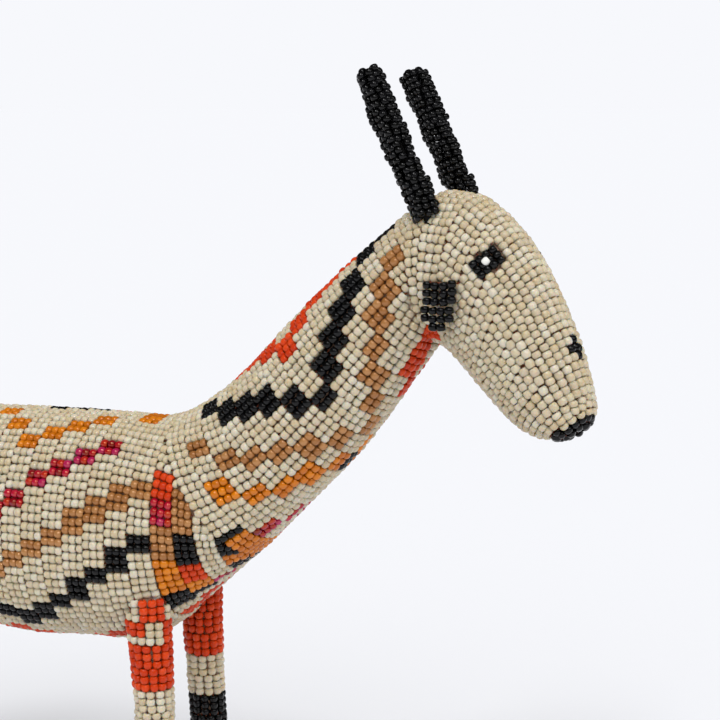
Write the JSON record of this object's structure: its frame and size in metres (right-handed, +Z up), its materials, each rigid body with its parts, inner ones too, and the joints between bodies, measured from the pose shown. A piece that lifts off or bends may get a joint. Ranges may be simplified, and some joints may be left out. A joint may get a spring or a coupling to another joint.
{
  "type": "beaded animal figure",
  "caption": "Standing antelope figure with long neck, upright horns and hanging ear flaps, stitched from glass seed beads over a stuffed wire form.",
  "frame": {"origin": "middle of the figure's length and width, level with the soles", "axes": "+X towards the head, +Y to the animal's left, +Z up"},
  "size_m": [0.324, 0.0662, 0.2795],
  "materials": {
    "cream_glass": "pearl",
    "black_glass": "gloss",
    "orange_glass": "gloss",
    "white_glass": "gloss",
    "amber_glass": "silver lined",
    "red_glass": "silver lined, iridescent",
    "tan_glass": "lustre",
    "cloth": "plain weave",
    "stuffing": "loose",
    "thread": "twisted",
    "wire": "drawn",
    "sole": "matte"
  },
  "bodies": {
    "figure": {"body_beads": "cream_glass", "body_lining": "cloth", "body_stuffing": "stuffing", "front_binding_wire": "wire", "head_beads": "cream_glass", "head_lining": "cloth", "head_stuffing": "stuffing", "left_ear_thread": "thread", "left_eye_beads": "black_glass", "left_front_leg_black_beads": "black_glass", "left_front_leg_cream_beads": "cream_glass", "left_front_leg_lining": "cloth", "left_front_leg_orange_beads": "orange_glass", "left_front_leg_padding": "stuffing", "left_front_leg_wire": "wire", "left_front_sole": "sole", "left_hind_leg_black_beads": "black_glass", "left_hind_leg_cream_beads": "cream_glass", "left_hind_leg_lining": "cloth", "left_hind_leg_orange_beads": "orange_glass", "left_hind_leg_padding": "stuffing", "left_hind_leg_wire": "wire", "left_hind_sole": "sole", "left_horn_beads": "black_glass", "left_horn_wire": "wire", "left_nostril_beads": "black_glass", "left_pupil_bead": "white_glass", "left_shoulder_gusset_beads": "cream_glass", "neck_beads": "cream_glass", "neck_lining": "cloth", "neck_stuffing": "stuffing", "nose_beads": "black_glass", "rear_binding_wire": "wire", "right_ear_thread": "thread", "right_eye_beads": "black_glass", "right_front_leg_black_beads": "black_glass", "right_front_leg_cream_beads": "cream_glass", "right_front_leg_lining": "cloth", "right_front_leg_orange_beads": "orange_glass", "right_front_leg_padding": "stuffing", "right_front_leg_wire": "wire", "right_front_sole": "sole", "right_hind_leg_black_beads": "black_glass", "right_hind_leg_cream_beads": "cream_glass", "right_hind_leg_lining": "cloth", "right_hind_leg_orange_beads": "orange_glass", "right_hind_leg_padding": "stuffing", "right_hind_leg_wire": "wire", "right_hind_sole": "sole", "right_horn_beads": "black_glass", "right_horn_wire": "wire", "right_nostril_beads": "black_glass", "right_pupil_bead": "white_glass", "right_shoulder_gusset_beads": "cream_glass", "spine_wire": "wire", "tail_beads": "cream_glass"},
    "right_ear": {"right_ear": "black_glass"},
    "left_ear": {"left_ear": "black_glass"}
  },
  "joints": [
    {"name": "right_ear_lift", "type": "hinge", "parent": "figure", "child": "right_ear", "pos_m": [0.11563, -0.0237, 0.2144], "axis": [-0.9613, 0.2756, 0], "range_deg": [0, 100]},
    {"name": "left_ear_lift", "type": "hinge", "parent": "figure", "child": "left_ear", "pos_m": [0.12715, 0.01648, 0.2144], "axis": [0.9613, -0.2756, 0], "range_deg": [0, 100]}
  ]
}
